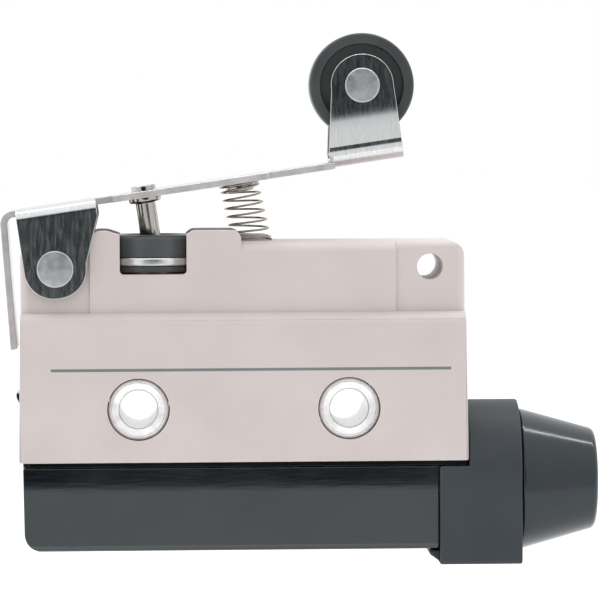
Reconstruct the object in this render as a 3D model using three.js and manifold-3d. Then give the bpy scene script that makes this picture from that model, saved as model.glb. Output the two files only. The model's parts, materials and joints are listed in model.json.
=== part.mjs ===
// Roller-lever limit switch, made of separate pieces that turn, slide and fit on each other.
// Units are millimetres. X runs along the body towards the cable outlet, Y points into the surface
// that the switch is screwed to, and Z points up towards the lever. The origin lies on the mounting
// face, midway between the two mounting holes.
import * as THREE from "three";
import { mergeVertices } from "three/addons/utils/BufferGeometryUtils.js";
import Module from "manifold-3d";

const wasm = await Module();
wasm.setup();

// ---------------------------------------------------------------- driving dimensions

const DEPTH = 17.4;
const MID_Y = -DEPTH / 2;
const HOLE_X = 12.7;
const SLIP = 0.05;
const BITE = 2;

const BODY = {
  halfLength: 27.12,
  bottom: -6.4,
  bandTop: 11.6,
  top: 20.1,
  edge: 1.0,
  midHalfLength: 18.5,
  midHalfDepth: 7.3,
  endHalfDepth: 7.0,
  endCorner: 2.0,
  chamberHalfLength: 24.2,
  chamberHalfDepth: 7.1,
  chamberTop: 10.1,
  loftHalfLength: 17.0,
  loftHalfDepth: 5.8,
  loftTop: 13.2,
  boss: 5.2,
};
const GUARD = {
  left: -18.4,
  leftCorner: 1.4,
  right: -0.2,
  rightCorner: 1.0,
  top: 21.5,
  thickness: 3.0,
  windowLeft: -14.85,
  windowRight: -6.8,
};
const WELL = { x: -10.8, floor: 16.2, radius: 6.2, guideHole: 2.7 };
const BUSH = { hole: 3.75, outer: 3.65, bore: 2.3, inset: 0.2, edge: 0.35 };

const PIVOT = { x: 22.6, z: 16.97, bore: 1.55, pin: 1.5, tilt: THREE.MathUtils.degToRad(8.25) };
const SHEET = { under: 6.83, top: 7.63 };
const BRACKET = {
  left: -3.75,
  right: 6.0,
  inner: 7.45,
  outer: 8.25,
  bend: 1.3,
  bottom: -3.6,
  corner: 3.55,
  arcRight: 3.75,
  shoulder: 5.5,
};
const PLATE = {
  neckHalf: 3.6,
  neckEnd: 8.6,
  wideStart: 9.4,
  wideHalf: 6.2,
  wideEnd: 26.6,
  narrowStart: 28.4,
  narrowHalf: 4.4,
  corner: 0.8,
  bite: 0.5,
};
const FORK = { left: 34.8, right: 43.85, shoulder: 36.25, inner: 2.65, outer: 3.45, bend: 1.8, crown: 3.8 };
const TONGUE = {
  root: -2.8,
  half: 4.5,
  bend: 1.6,
  outerTop: -5.75,
  innerTop: -4.97,
  outerEnd: -6.9,
  end: -9.0,
};
const ROLLER = { u: 40.05, n: 16.37, radius: 6.35, half: 2.4, rim: 5.05, web: 1.9, hub: 2.6 };
const ROLLER_EDGE = 0.25;
const PUSH_PIN = {
  u: 11.9,
  tip: -0.63,
  tipEdge: 0.45,
  shaft: 1.12,
  collar: 1.85,
  collarUnder: 6.2,
  head: 1.4,
  headHeight: 0.65,
  headEdge: 0.3,
};
const STUD = { u: 23.5, radius: 1.75, bottom: 5.75, edge: 0.3, shank: 0.9 };
const PIVOT_RIVET = { head: 2.2, height: 0.4 };
const ROLLER_RIVET = { head: 2.1, height: 0.45 };

const SPRING = {
  radius: 2.35,
  wire: 0.15,
  turns: 8,
  pitch: 0.4,
  seatX: 1.25,
  seatRadius: 1.7,
  seatHeight: 0.8,
};
const CONTACT_SPRING = { radius: 1.5, wire: 0.15, turns: 6, pitch: 0.4, seat: 5.6, padHalf: 2.5, gap: 0.25 };
const PLUNGER = { radius: 1.6, bore: 1.65, top: 17.0, foot: 0.6, footHeight: 0.5 };
const GUIDE = { radius: 2.6, bottom: 12.8, flange: 4.2, flangeTop: 16.8 };
const BOOT = {
  bottom: 16.4,
  top: 20.9,
  outer: 6.0,
  inner: 4.6,
  edge: 0.7,
  grooveRadius: 5.6,
  grooveBottom: 17.1,
  grooveTop: 18.25,
  mouth: 3.8,
  recess: 3.2,
  membraneUnder: 17.4,
  membraneOver: 17.9,
};
const RING = { inner: 5.68, outer: 6.1 };

const ARM = { pivotX: 14.0, z: 10.6, thickness: 0.5, half: 2.5, contactX: 3.0, left: -12.2, knuckle: 1.2 };
const ARM_PIN = { radius: 0.6, bore: 0.65, half: 3.6 };
const RIVET = { shank: 0.7, hole: 0.75, head: 1.25, movingHead: 0.55, noHead: 0.45, ncHead: 0.6 };
const NC_LEAF = [12.05, 12.85];
const NO_LEAF = [7.3, 8.1];
const STRIP = 0.8;
const TERMINAL = { flangeTop: -7.4, flangeBottom: -8.2, half: 2.8, legHalf: 2.0, hole: 1.5 };
const COM = {
  left: 12.6,
  right: 21.1,
  flangeLeft: 13.5,
  half: 3.4,
  shelf: [7.6, 8.4],
  ears: 11.9,
  earsRight: 15.4,
};
const NO = { left: 1.5, right: 5.5, flangeLeft: -1.2 };
const NC = { left: -5.4, right: 4.5, flangeLeft: -17.0, back: 5.2, legDepth: 2.0 };
const SCREW = {
  xs: [-14.0, 1.8, 16.5],
  head: 2.3,
  headBottom: -10.8,
  headTop: -9.0,
  edge: 0.5,
  slotHalf: 0.3,
  slotDepth: 0.8,
  shank: 1.35,
  shankTop: -6.6,
};
const WASHER_HALF = 2.6;
const BASE = { halfLength: 24.0, half: 6.9, top: -5.4, ribs: [-2.8, 9.0], ribHalf: 6.0, slitGap: 0.2 };

const COVER = { left: -26.65, right: 23.5, bottom: -17.2, top: -7.1, half: 8.2, wall: 1.3, corner: 1.6 };
const LATCH = { left: -26.8, right: -26.05, half: 2.9, top: 1.75, lip: -27.55, lipUnder: 1.2, neck: -0.4 };
const LATCH_GROOVE = { right: -25.85, half: 3.3, top: 2.6 };
const GASKET = { left: -25.5, right: 27.0, half: 8.1, openLeft: -24.3, openRight: 23.0, openHalf: 6.7 };
const BLOCK = {
  left: 23.6,
  step: 27.2,
  right: 33.6,
  bottom: -19.05,
  shelf: -7.1,
  archZ: -8.3,
  arch: 8.7,
  corner: 0.6,
};
const FOOT = { left: 22.4, right: 24.6, half: 7.0, top: -17.4, chamferTop: -17.9, chamferRight: 24.0 };
const THROAT = { right: 28.0, half: 5.5, bottom: -15.3, top: -8.5 };
const OUTLET = { z: -9.4, spigot: 6.5, socket: 6.6, spigotEnd: 38.6, end: 43.1, cable: 3.9, passage: 5.0 };
const GROMMET = { large: 8.7, small: 6.2, rim: 5.2, edge: 0.9 };

const FINE = 48;
const ROUND = 32;
const SMALL = 24;

// ---------------------------------------------------------------- solids

// A closed geometry, as a solid that can be joined and cut.
function solid(geometry) {
  const bare = geometry.index ? geometry.toNonIndexed() : geometry.clone();
  bare.deleteAttribute("normal");
  bare.deleteAttribute("uv");
  const merged = mergeVertices(bare, 1e-4);
  return new wasm.Manifold(
    new wasm.Mesh({
      numProp: 3,
      vertProperties: merged.attributes.position.array,
      triVerts: new Uint32Array(merged.index.array),
    }),
  );
}

function join(...solids) {
  return solids.reduce((sum, next) => sum.add(next));
}

function box([x0, x1], [y0, y1], [z0, z1]) {
  const geometry = new THREE.BoxGeometry(x1 - x0, y1 - y0, z1 - z0);
  return solid(geometry.translate((x0 + x1) / 2, (y0 + y1) / 2, (z0 + z1) / 2));
}

// A box that is centred on a plane across Y.
function slab(x0, x1, half, z0, z1, midY = MID_Y) {
  return box([x0, x1], [midY - half, midY + half], [z0, z1]);
}

// A flat outline from corners [a, b, radius], with an arc at each corner that has a radius.
function outline(corners, steps = 6) {
  const points = [];
  corners.forEach(([a, b, radius = 0], i) => {
    const corner = new THREE.Vector2(a, b);
    if (!radius) {
      points.push(corner);
      return;
    }
    const before = new THREE.Vector2(...corners.at(i - 1)).sub(corner).normalize();
    const after = new THREE.Vector2(...corners[(i + 1) % corners.length]).sub(corner).normalize();
    const half = Math.acos(THREE.MathUtils.clamp(before.dot(after), -1, 1)) / 2;
    const centre = before.clone().add(after).normalize().multiplyScalar(radius / Math.sin(half)).add(corner);
    const start = before.multiplyScalar(radius / Math.tan(half)).add(corner).sub(centre);
    const end = after.multiplyScalar(radius / Math.tan(half)).add(corner).sub(centre);
    const sweep = Math.atan2(start.cross(end), start.dot(end));
    for (let step = 0; step <= steps; step++) {
      points.push(start.clone().rotateAround(new THREE.Vector2(), (sweep * step) / steps).add(centre));
    }
  });
  return new THREE.Shape(points);
}

const SWEEP_AXES = {
  x: [new THREE.Vector3(0, 1, 0), new THREE.Vector3(0, 0, 1), new THREE.Vector3(1, 0, 0)],
  y: [new THREE.Vector3(1, 0, 0), new THREE.Vector3(0, 0, 1), new THREE.Vector3(0, -1, 0)],
  z: [new THREE.Vector3(1, 0, 0), new THREE.Vector3(0, 1, 0), new THREE.Vector3(0, 0, 1)],
};

// Sweeps an outline along an axis. Its coordinates are the other two axes, in the order X, Y, Z.
function sweep(shape, axis, from, to) {
  const geometry = new THREE.ExtrudeGeometry(shape, { depth: to - from, bevelEnabled: false });
  geometry.applyMatrix4(new THREE.Matrix4().makeBasis(...SWEEP_AXES[axis]));
  const start = { x: [from, 0, 0], y: [0, to, 0], z: [0, 0, from] }[axis];
  return solid(geometry.translate(...start));
}

// Turns a profile of [radius, position] points about a line along an axis through a centre.
function turn(profile, axis, centre, segments = ROUND) {
  const points = profile.map(([radius, position]) => new THREE.Vector2(radius, position));
  const geometry = new THREE.LatheGeometry(points, segments);
  if (axis === "x") geometry.rotateZ(-Math.PI / 2);
  if (axis === "z") geometry.rotateX(Math.PI / 2);
  return solid(geometry.translate(...centre));
}

function rod(axis, centre, radius, from, to, segments = ROUND) {
  const profile = [
    [0, from],
    [radius, from],
    [radius, to],
    [0, to],
  ];
  return turn(profile, axis, centre, segments);
}

// A rod across the switch, through (x, z), that reaches the same distance each side of the mid plane.
function crossRod(x, z, radius, half, segments = ROUND, midY = MID_Y) {
  return rod("y", [x, midY, z], radius, -half, half, segments);
}

// A wire of round section that follows a helix from one seat to another, with a closed turn at each end.
class Helix extends THREE.Curve {
  constructor({ radius, turns, pitch, from, to, lean }) {
    super();
    Object.assign(this, { radius, turns, pitch, from, to, lean });
  }

  getPoint(t, target = new THREE.Vector3()) {
    const turn = t * this.turns;
    const length = this.from.distanceTo(this.to);
    const active = (length - 2 * this.pitch) / (this.turns - 2);
    const middle = THREE.MathUtils.clamp(turn - 1, 0, this.turns - 2);
    const height = active * middle + this.pitch * (turn - middle);
    const along = height / length;
    const angle = 2 * Math.PI * turn;
    const side = this.radius * Math.cos(angle);
    target.lerpVectors(this.from, this.to, along);
    target.x += side;
    target.y += this.radius * Math.sin(angle);
    target.z += side * Math.tan(this.lean) * along;
    return target;
  }
}

function coil(helix, wire, stepsPerTurn = 12, sides = 6) {
  const ring = new THREE.Shape(new THREE.EllipseCurve(0, 0, wire, wire).getPoints(sides).slice(1));
  const steps = helix.turns * stepsPerTurn;
  return solid(new THREE.ExtrudeGeometry(ring, { steps, extrudePath: helix, bevelEnabled: false }));
}

// ---------------------------------------------------------------- materials

const MATERIALS = {
  body: new THREE.MeshStandardMaterial({ color: 0xd6ccc9, roughness: 0.55, metalness: 0 }),
  blackGloss: new THREE.MeshStandardMaterial({ color: 0x17191a, roughness: 0.25, metalness: 0 }),
  darkMatte: new THREE.MeshStandardMaterial({ color: 0x2c3032, roughness: 0.6, metalness: 0 }),
  rubber: new THREE.MeshStandardMaterial({ color: 0x26292a, roughness: 0.7, metalness: 0 }),
  rollerPlastic: new THREE.MeshStandardMaterial({ color: 0x33383a, roughness: 0.4, metalness: 0 }),
  stainless: new THREE.MeshStandardMaterial({ color: 0xb9b4b6, roughness: 0.3, metalness: 1 }),
  springSteel: new THREE.MeshStandardMaterial({ color: 0xa8a8aa, roughness: 0.28, metalness: 1 }),
  brass: new THREE.MeshStandardMaterial({ color: 0xc8a24a, roughness: 0.35, metalness: 1 }),
  silver: new THREE.MeshStandardMaterial({ color: 0xd8d8d4, roughness: 0.3, metalness: 1 }),
  innerPlastic: new THREE.MeshStandardMaterial({ color: 0x5a3a24, roughness: 0.5, metalness: 0 }),
  slider: new THREE.MeshStandardMaterial({ color: 0xe6e2d8, roughness: 0.45, metalness: 0 }),
};

function piece(name, made, material) {
  const { vertProperties, triVerts } = made.getMesh();
  const geometry = new THREE.BufferGeometry();
  geometry.setAttribute("position", new THREE.BufferAttribute(vertProperties, 3));
  geometry.setIndex(new THREE.BufferAttribute(triVerts, 1));
  geometry.computeVertexNormals();
  const mesh = new THREE.Mesh(geometry, material);
  mesh.name = name;
  return mesh;
}

// ---------------------------------------------------------------- housing

function housingBand() {
  const section = outline([
    [-DEPTH, BODY.bottom],
    [0, BODY.bottom],
    [0, BODY.bandTop, BODY.edge],
    [-DEPTH, BODY.bandTop, BODY.edge],
  ]);
  return sweep(section, "x", -BODY.halfLength, BODY.halfLength);
}

function housingUpper() {
  const middle = sweep(
    outline([
      [MID_Y - BODY.midHalfDepth, BODY.bandTop - BITE],
      [MID_Y + BODY.midHalfDepth, BODY.bandTop - BITE],
      [MID_Y + BODY.midHalfDepth, BODY.top, BODY.edge],
      [MID_Y - BODY.midHalfDepth, BODY.top, BODY.edge],
    ]),
    "x",
    -BODY.midHalfLength,
    BODY.midHalfLength,
  );
  const ends = sweep(
    outline([
      [-BODY.halfLength, BODY.bandTop - BITE],
      [BODY.halfLength, BODY.bandTop - BITE],
      [BODY.halfLength, BODY.top, BODY.endCorner],
      [-BODY.halfLength, BODY.top, BODY.endCorner],
    ]),
    "y",
    MID_Y - BODY.endHalfDepth,
    MID_Y + BODY.endHalfDepth,
  );
  return join(middle, ends);
}

// The two walls that guard the plunger well, one in front and one behind.
function guardWalls() {
  const side = outline([
    [GUARD.left, BODY.bandTop],
    [GUARD.right, BODY.bandTop],
    [GUARD.right, GUARD.top, GUARD.rightCorner],
    [GUARD.left, GUARD.top, GUARD.leftCorner],
  ]);
  const outer = BODY.midHalfDepth;
  const inner = outer - GUARD.thickness;
  const front = sweep(side, "y", MID_Y - outer, MID_Y - inner);
  const back = sweep(side, "y", MID_Y + inner, MID_Y + outer);
  return join(front, back);
}

// The room for the contacts, round the bosses of the mounting holes and the pad of the contact spring.
function housingChamber() {
  const lower = slab(
    -BODY.chamberHalfLength,
    BODY.chamberHalfLength,
    BODY.chamberHalfDepth,
    BODY.bottom - BITE,
    BODY.chamberTop,
  );
  const loft = slab(-BODY.loftHalfLength, BODY.loftHalfLength, BODY.loftHalfDepth, 0, BODY.loftTop);
  const { padHalf, seat } = CONTACT_SPRING;
  const springPad = slab(WELL.x - padHalf, WELL.x + padHalf, padHalf, 0, seat);
  let chamber = join(lower, loft).subtract(springPad);
  for (const side of [-1, 1]) {
    chamber = chamber.subtract(crossRod(side * HOLE_X, 0, BODY.boss, BODY.chamberHalfDepth + BITE));
  }
  return chamber;
}

function makeHousing() {
  const wellCentre = [WELL.x, MID_Y, 0];
  const window = slab(GUARD.windowLeft, GUARD.windowRight, DEPTH / 2, WELL.floor, GUARD.top + BITE);
  const { right, half, top } = LATCH_GROOVE;
  const latchGroove = slab(-BODY.halfLength - BITE, right, half, BODY.bottom - BITE, top);
  const seatTop = BODY.top + SPRING.seatHeight;
  let body = join(
    housingBand(),
    housingUpper(),
    guardWalls(),
    rod("z", [SPRING.seatX, MID_Y, 0], SPRING.seatRadius, BODY.top - BITE, seatTop, SMALL),
  );
  body = body
    .subtract(housingChamber())
    .subtract(rod("z", wellCentre, WELL.radius, WELL.floor, GUARD.top + BITE, FINE))
    .subtract(window)
    .subtract(rod("z", wellCentre, WELL.guideHole, BODY.loftTop - BITE, WELL.floor + BITE))
    .subtract(latchGroove);
  for (const side of [-1, 1]) {
    body = body
      .subtract(crossRod(side * HOLE_X, 0, BUSH.hole, DEPTH))
      .subtract(crossRod(side * PIVOT.x, PIVOT.z, PIVOT.bore, DEPTH, SMALL));
  }
  return body;
}

function makeBush(side) {
  const half = DEPTH / 2 - BUSH.inset;
  const profile = [
    [BUSH.bore, -half + BUSH.edge],
    [BUSH.bore + BUSH.edge, -half],
    [BUSH.outer - BUSH.edge, -half],
    [BUSH.outer, -half + BUSH.edge],
    [BUSH.outer, half - BUSH.edge],
    [BUSH.outer - BUSH.edge, half],
    [BUSH.bore + BUSH.edge, half],
    [BUSH.bore, half - BUSH.edge],
    [BUSH.bore, -half + BUSH.edge],
  ];
  return turn(profile, "y", [side * HOLE_X, MID_Y, 0]);
}

// ---------------------------------------------------------------- plunger and its seal

function makePlungerGuide() {
  const profile = [
    [PLUNGER.bore, GUIDE.bottom],
    [GUIDE.radius, GUIDE.bottom],
    [GUIDE.radius, WELL.floor + SLIP],
    [GUIDE.flange, WELL.floor + SLIP],
    [GUIDE.flange, GUIDE.flangeTop],
    [PLUNGER.bore, GUIDE.flangeTop],
    [PLUNGER.bore, GUIDE.bottom],
  ];
  return turn(profile, "z", [WELL.x, MID_Y, 0]);
}

// The plunger's lower end is a small foot, so that it stays clear of the arm when the arm tilts.
function makePlunger() {
  const { radius, top, foot, footHeight } = PLUNGER;
  const bottom = ARM.z + ARM.thickness / 2 + SLIP;
  const profile = [
    [0, bottom],
    [foot, bottom],
    [radius, bottom + footHeight],
    [radius, top],
    [0, top],
  ];
  return turn(profile, "z", [WELL.x, MID_Y, 0]);
}

// A rubber cap: a thick wall with a groove for the ring, and a thin membrane across its middle.
function makeSealBoot() {
  const { membraneUnder, membraneOver, grooveRadius, recess, outer, edge } = BOOT;
  const profile = [
    [0, membraneUnder],
    [BOOT.inner, membraneUnder],
    [BOOT.inner, BOOT.bottom],
    [outer, BOOT.bottom],
    [outer, BOOT.grooveBottom],
    [grooveRadius, BOOT.grooveBottom],
    [grooveRadius, BOOT.grooveTop],
    [outer, BOOT.grooveTop],
    [outer, BOOT.top - edge],
    [outer - 0.3 * edge, BOOT.top - 0.3 * edge],
    [outer - edge, BOOT.top],
    [BOOT.mouth, BOOT.top],
    [recess, BOOT.top - edge],
    [recess, membraneOver + edge / 2],
    [recess - edge / 2, membraneOver],
    [0, membraneOver],
  ];
  return turn(profile, "z", [WELL.x, MID_Y, 0]);
}

function makeSealRing() {
  const bottom = BOOT.grooveBottom + SLIP;
  const top = BOOT.grooveTop - SLIP;
  const profile = [
    [RING.inner, bottom],
    [RING.outer, bottom],
    [RING.outer, top],
    [RING.inner, top],
    [RING.inner, bottom],
  ];
  return turn(profile, "z", [WELL.x, MID_Y, 0]);
}

// ---------------------------------------------------------------- lever

// The lever's own frame: X along its plate from the pivot, Z square to the plate, Y = 0 on the mid plane.
// A plate bent to a channel: its web lies between two heights and its two flanges reach one way.
function channel(u0, u1, inner, outer, web, reach, bend) {
  const away = Math.sign(reach - web[1]);
  const outerZ = away > 0 ? web[0] : web[1];
  const innerZ = away > 0 ? web[1] : web[0];
  const rim = [
    [-outer, reach],
    [-outer, outerZ, bend],
    [outer, outerZ, bend],
    [outer, reach],
    [inner, reach],
    [inner, innerZ, bend - (outer - inner)],
    [-inner, innerZ, bend - (outer - inner)],
    [-inner, reach],
  ];
  return sweep(outline(away > 0 ? rim : rim.reverse()), "x", u0, u1);
}

function leverBracket() {
  const { left, right, arcRight, bottom, corner, shoulder } = BRACKET;
  const web = [SHEET.under, SHEET.top];
  const section = channel(left, right, BRACKET.inner, BRACKET.outer, web, bottom - BITE, BRACKET.bend);
  const side = outline([
    [left, SHEET.top + BITE],
    [left, bottom, corner],
    [arcRight, bottom, corner],
    [arcRight, 0],
    [right, shoulder],
    [right, SHEET.top + BITE],
  ]);
  return section.intersect(sweep(side, "y", -DEPTH, DEPTH));
}

function leverArm() {
  const { neckHalf, wideHalf, narrowHalf, corner } = PLATE;
  const start = BRACKET.right - PLATE.bite;
  const end = FORK.left + PLATE.bite;
  const plan = outline([
    [start, -neckHalf],
    [PLATE.neckEnd, -neckHalf],
    [PLATE.wideStart, -wideHalf, corner],
    [PLATE.wideEnd, -wideHalf, corner],
    [PLATE.narrowStart, -narrowHalf, corner],
    [end, -narrowHalf],
    [end, narrowHalf],
    [PLATE.narrowStart, narrowHalf, corner],
    [PLATE.wideEnd, wideHalf, corner],
    [PLATE.wideStart, wideHalf, corner],
    [PLATE.neckEnd, neckHalf],
    [start, neckHalf],
  ]);
  return sweep(plan, "z", SHEET.under, SHEET.top);
}

function leverFork() {
  const { left, right, shoulder, crown, bend } = FORK;
  const top = ROLLER.n + crown;
  const section = channel(left, right, FORK.inner, FORK.outer, [SHEET.under, SHEET.top], top + BITE, bend);
  const side = outline([
    [left, SHEET.under - BITE],
    [right, SHEET.under - BITE],
    [right, top, crown - SLIP],
    [shoulder, top, crown - SLIP],
    [shoulder, ROLLER.n],
    [left, SHEET.top + bend],
  ]);
  return section.intersect(sweep(side, "y", -DEPTH, DEPTH));
}

// The sheet's left end, bent down past the housing, where it meets the housing's end as a stop.
function leverTongue() {
  const { root, half, bend, outerTop, innerTop, outerEnd, end } = TONGUE;
  const thickness = SHEET.top - SHEET.under;
  const side = outline([
    [root, SHEET.top],
    [outerTop, SHEET.top, bend],
    [outerEnd, end],
    [outerEnd + thickness, end],
    [innerTop, SHEET.under, bend - thickness],
    [root, SHEET.under],
  ]);
  return sweep(side, "y", -half, half);
}

function makeLever() {
  const across = DEPTH / 2;
  const above = SHEET.top + BITE;
  const below = SHEET.under - BITE;
  return join(leverBracket(), leverArm(), leverFork(), leverTongue())
    .subtract(crossRod(0, 0, PIVOT.bore, across, SMALL, 0))
    .subtract(crossRod(ROLLER.u, ROLLER.n, PIVOT.bore, across, SMALL, 0))
    .subtract(rod("z", [PUSH_PIN.u, 0, 0], PUSH_PIN.shaft + SLIP, below, above, SMALL))
    .subtract(rod("z", [STUD.u, 0, 0], STUD.shank + SLIP, below, above, SMALL));
}

// A pin across the lever with a flat head formed at each end.
function headedPin(x, z, reach, { head, height }) {
  const start = reach + SLIP;
  return join(
    crossRod(x, z, PIVOT.pin, start, SMALL, 0),
    rod("y", [x, 0, z], head, start, start + height, SMALL),
    rod("y", [x, 0, z], head, -start - height, -start, SMALL),
  );
}

function makePushPin() {
  const { shaft, collar, head, tip, tipEdge, headHeight, headEdge } = PUSH_PIN;
  const profile = [
    [0, tip],
    [shaft - tipEdge, tip],
    [shaft, tip + tipEdge],
    [shaft, PUSH_PIN.collarUnder],
    [collar, PUSH_PIN.collarUnder],
    [collar, SHEET.under - SLIP],
    [shaft, SHEET.under - SLIP],
    [shaft, SHEET.top + SLIP],
    [head, SHEET.top + SLIP],
    [head, SHEET.top + headHeight - headEdge],
    [head - headEdge, SHEET.top + headHeight],
    [0, SHEET.top + headHeight],
  ];
  return turn(profile, "z", [PUSH_PIN.u, 0, 0], SMALL);
}

function makeSpringStud() {
  const { radius, bottom, edge, shank } = STUD;
  const profile = [
    [0, bottom],
    [radius - edge, bottom],
    [radius, bottom + edge],
    [radius, SHEET.under - SLIP],
    [shank, SHEET.under - SLIP],
    [shank, SHEET.top - SLIP],
    [0, SHEET.top - SLIP],
  ];
  return turn(profile, "z", [STUD.u, 0, 0], SMALL);
}

function makeRoller() {
  const { radius, half, rim, web, hub } = ROLLER;
  const profile = [
    [PIVOT.bore, -half],
    [hub, -half],
    [hub, -web],
    [rim, -web],
    [rim, -half],
    [radius - ROLLER_EDGE, -half],
    [radius, -half + ROLLER_EDGE],
    [radius, half - ROLLER_EDGE],
    [radius - ROLLER_EDGE, half],
    [rim, half],
    [rim, web],
    [hub, web],
    [hub, half],
    [PIVOT.bore, half],
    [PIVOT.bore, -half],
  ];
  return turn(profile, "y", [ROLLER.u, 0, ROLLER.n], FINE);
}

// The lever and what it carries, turned up to its rest position about the pivot.
function leverGroup() {
  const group = new THREE.Group();
  group.position.set(-PIVOT.x, MID_Y, PIVOT.z);
  group.rotation.y = -PIVOT.tilt;
  const pivotPin = headedPin(0, 0, BRACKET.outer, PIVOT_RIVET);
  const rollerPin = headedPin(ROLLER.u, ROLLER.n, FORK.outer, ROLLER_RIVET);
  group.add(
    piece("lever", makeLever(), MATERIALS.stainless),
    piece("pivot_pin", pivotPin, MATERIALS.stainless),
    piece("actuating_pin", makePushPin(), MATERIALS.stainless),
    piece("spring_stud", makeSpringStud(), MATERIALS.stainless),
    piece("roller_pin", rollerPin, MATERIALS.stainless),
    piece("roller", makeRoller(), MATERIALS.rollerPlastic),
  );
  return group;
}

// A point of the lever's frame, in the switch's frame at rest.
function leverPoint(u, n) {
  const point = new THREE.Vector3(u, 0, n).applyAxisAngle(new THREE.Vector3(0, 1, 0), -PIVOT.tilt);
  return point.add(new THREE.Vector3(-PIVOT.x, MID_Y, PIVOT.z));
}

function makeReturnSpring() {
  const gap = SPRING.wire + 2 * SLIP;
  const helix = new Helix({
    radius: SPRING.radius,
    turns: SPRING.turns,
    pitch: SPRING.pitch,
    from: new THREE.Vector3(SPRING.seatX, MID_Y, BODY.top + gap),
    to: leverPoint(STUD.u, SHEET.under - gap),
    lean: PIVOT.tilt,
  });
  return coil(helix, SPRING.wire);
}

// ---------------------------------------------------------------- contacts and terminals

function makeContactArm() {
  const under = ARM.z - ARM.thickness / 2;
  const over = ARM.z + ARM.thickness / 2;
  const blade = slab(ARM.left, ARM.pivotX - ARM_PIN.bore, ARM.half, under, over);
  const knuckle = crossRod(ARM.pivotX, ARM.z, ARM.knuckle, ARM.half, SMALL);
  return join(blade, knuckle)
    .subtract(crossRod(ARM.pivotX, ARM.z, ARM_PIN.bore, DEPTH, SMALL))
    .subtract(rivetHole([under, over]));
}

function rivetHole([under, over]) {
  return rod("z", [ARM.contactX, MID_Y, 0], RIVET.hole, under - STRIP, over + STRIP, SMALL);
}

// A contact rivet: a shank through a plate, with a head below it, above it or at both ends.
function contactRivet([under, over], headUnder, headOver) {
  const centre = [ARM.contactX, MID_Y, 0];
  const parts = [rod("z", centre, RIVET.shank, under - SLIP, over + SLIP, SMALL)];
  if (headUnder) {
    parts.push(rod("z", centre, RIVET.head, under - headUnder, under - SLIP, SMALL));
  }
  if (headOver) {
    parts.push(rod("z", centre, RIVET.head, over + SLIP, over + headOver, SMALL));
  }
  return join(...parts);
}

function makeMovingContact() {
  const plate = [ARM.z - ARM.thickness / 2, ARM.z + ARM.thickness / 2];
  return contactRivet(plate, RIVET.movingHead, RIVET.movingHead);
}

function screwHole(x) {
  const { flangeBottom, flangeTop, hole } = TERMINAL;
  return rod("z", [x, MID_Y, 0], hole, flangeBottom - STRIP, flangeTop + STRIP, SMALL);
}

function makeComTerminal() {
  const { flangeTop, flangeBottom, half, legHalf } = TERMINAL;
  const [under, over] = COM.shelf;
  const shelf = slab(COM.left, COM.right, COM.half, under, over);
  const leg = slab(COM.right - STRIP, COM.right, legHalf, flangeBottom, over);
  const flange = slab(COM.flangeLeft, COM.right, half, flangeBottom, flangeTop);
  const between = slab(COM.left - STRIP, COM.earsRight + STRIP, COM.half - STRIP, over, COM.ears + STRIP);
  const ears = slab(COM.left, COM.earsRight, COM.half, under, COM.ears).subtract(between);
  return join(shelf, leg, flange, ears)
    .subtract(crossRod(ARM.pivotX, ARM.z, ARM_PIN.bore, DEPTH, SMALL))
    .subtract(screwHole(SCREW.xs[2]));
}

function makeNoTerminal() {
  const { flangeTop, flangeBottom, half, legHalf } = TERMINAL;
  const leaf = slab(NO.left, NO.right, legHalf, ...NO_LEAF);
  const leg = slab(NO.right - STRIP, NO.right, legHalf, flangeBottom, NO_LEAF[1]);
  const flange = slab(NO.flangeLeft, NO.right, half, flangeBottom, flangeTop);
  return join(leaf, leg, flange).subtract(rivetHole(NO_LEAF)).subtract(screwHole(SCREW.xs[1]));
}

// The leg of this terminal passes behind the contact arm, and its leaf reaches over it.
function makeNcTerminal() {
  const { flangeTop, flangeBottom, half, legHalf } = TERMINAL;
  const back = MID_Y + NC.back;
  const legX = [NC.left, NC.left + STRIP];
  const leaf = box([NC.left, NC.right], [MID_Y - legHalf, back], NC_LEAF);
  const leg = box(legX, [back - NC.legDepth, back], [flangeBottom, NC_LEAF[1]]);
  const flange = box([NC.flangeLeft, legX[1]], [MID_Y - half, back], [flangeBottom, flangeTop]);
  return join(leaf, leg, flange).subtract(rivetHole(NC_LEAF)).subtract(screwHole(SCREW.xs[0]));
}

function makeContactSpring() {
  const { radius, wire, turns, pitch, seat, gap } = CONTACT_SPRING;
  const from = new THREE.Vector3(WELL.x, MID_Y, seat + gap);
  const to = new THREE.Vector3(WELL.x, MID_Y, ARM.z - ARM.thickness / 2 - gap);
  return coil(new Helix({ radius, turns, pitch, from, to, lean: 0 }), wire);
}

// The base has a slit for each terminal's leg and a rib between neighbouring terminals.
function makeTerminalBase() {
  const { halfLength, half, top, ribs, ribHalf, slitGap } = BASE;
  const { legHalf } = TERMINAL;
  const bottom = BODY.bottom;
  const plate = slab(-halfLength, halfLength, half, bottom, top);
  const walls = ribs.map((x) => slab(x - 0.5, x + 0.5, ribHalf, SCREW.headBottom, bottom + SLIP));
  const slitZ = [bottom - STRIP, top + STRIP];
  const slits = [COM.right, NO.right].map((right) => {
    return slab(right - STRIP - slitGap, right + slitGap, legHalf + slitGap, ...slitZ);
  });
  const back = MID_Y + NC.back + slitGap;
  const ncX = [NC.left - slitGap, NC.left + STRIP + slitGap];
  slits.push(box(ncX, [back - NC.legDepth - 2 * slitGap, back], slitZ));
  return join(plate, ...walls).subtract(join(...slits));
}

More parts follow.
